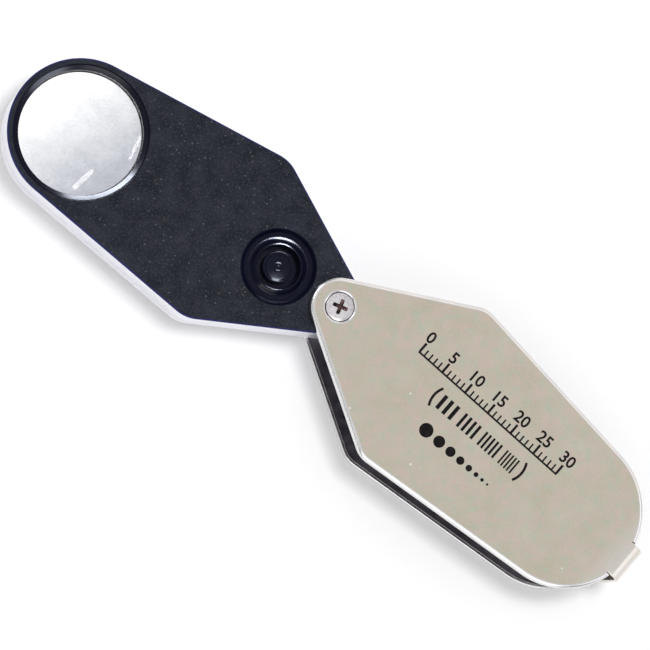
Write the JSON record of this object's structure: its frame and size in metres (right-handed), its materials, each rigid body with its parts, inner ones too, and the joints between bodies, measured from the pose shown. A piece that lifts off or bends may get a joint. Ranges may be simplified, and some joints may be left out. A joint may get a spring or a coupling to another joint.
{
  "type": "folding pocket loupe",
  "caption": "Folding magnifier with a lamp: a lens unit with a push button swings out of a folded sheet-metal case on a pivot screw.",
  "frame": {"origin": "on the pivot axis, at the outer face of the case's back plate", "axes": "+X along the case from the pivot to the strap, +Z along the pivot axis from the back plate to the screw head, +Y across the case"},
  "size_m": [0.1262, 0.0347, 0.0153],
  "materials": {
    "satin_nickel": "satin nickel plate on sheet steel, with bright rolled edges",
    "bright_steel": "bright turned steel",
    "screw_chrome": "bright plated screw",
    "nylon": "natural nylon",
    "satin_black": "fine-textured black plastic with a glossy edge",
    "gloss_black": "glossy black plastic",
    "plated_silver": "satin chrome plate on plastic",
    "plated_rear": "satin chrome plate on plastic, slightly duller",
    "lens_glass": "polished optical glass",
    "lamp_resin": "clear resin with a pale yellow core",
    "board_laminate": "green solder mask",
    "contact_brass": "spring brass strip",
    "wire_black": "black wire insulation",
    "wire_red": "red wire insulation"
  },
  "bodies": {
    "case": {"cover_case": "satin_nickel", "pivot_post": "bright_steel", "pivot_screw": "screw_chrome", "rear_washer": "nylon", "wave_washer": "bright_steel", "front_washer": "nylon"},
    "lens_unit": {"front_cover": "satin_black", "side_frame": "plated_silver", "rear_cover": "plated_rear", "battery_door": "plated_rear", "door_screw": "screw_chrome", "rear_screw_1": "screw_chrome", "rear_screw_2": "screw_chrome", "rear_screw_3": "screw_chrome", "rear_screw_4": "screw_chrome", "front_lens": "lens_glass", "rear_lens": "lens_glass", "lens_barrel": "gloss_black", "lens_spacer": "gloss_black", "retaining_ring": "gloss_black", "button_collar": "gloss_black", "switch_body": "gloss_black", "circuit_board": "board_laminate", "resistor": "board_laminate", "led": "lamp_resin", "led_wire_1": "wire_black", "led_wire_2": "wire_red", "battery_holder": "gloss_black", "button_cell_1": "bright_steel", "button_cell_2": "bright_steel", "button_cell_3": "bright_steel", "positive_contact": "contact_brass", "negative_contact": "contact_brass"},
    "button": {"button_cap": "gloss_black", "switch_plunger": "nylon", "button_spring": "bright_steel"}
  },
  "joints": [
    {"name": "swing", "type": "hinge", "parent": "case", "child": "lens_unit", "pos_m": [0, 0, 0], "axis": [0, 0, 1], "range_deg": [-187.5, 172.5]},
    {"name": "button_press", "type": "slide", "parent": "lens_unit", "child": "button", "axis": [0, 0, -1], "range_m": [0, 0.0008], "stiffness_N_per_m": 600, "springref_m": -0.0008, "deforming": ["button_spring"]}
  ]
}
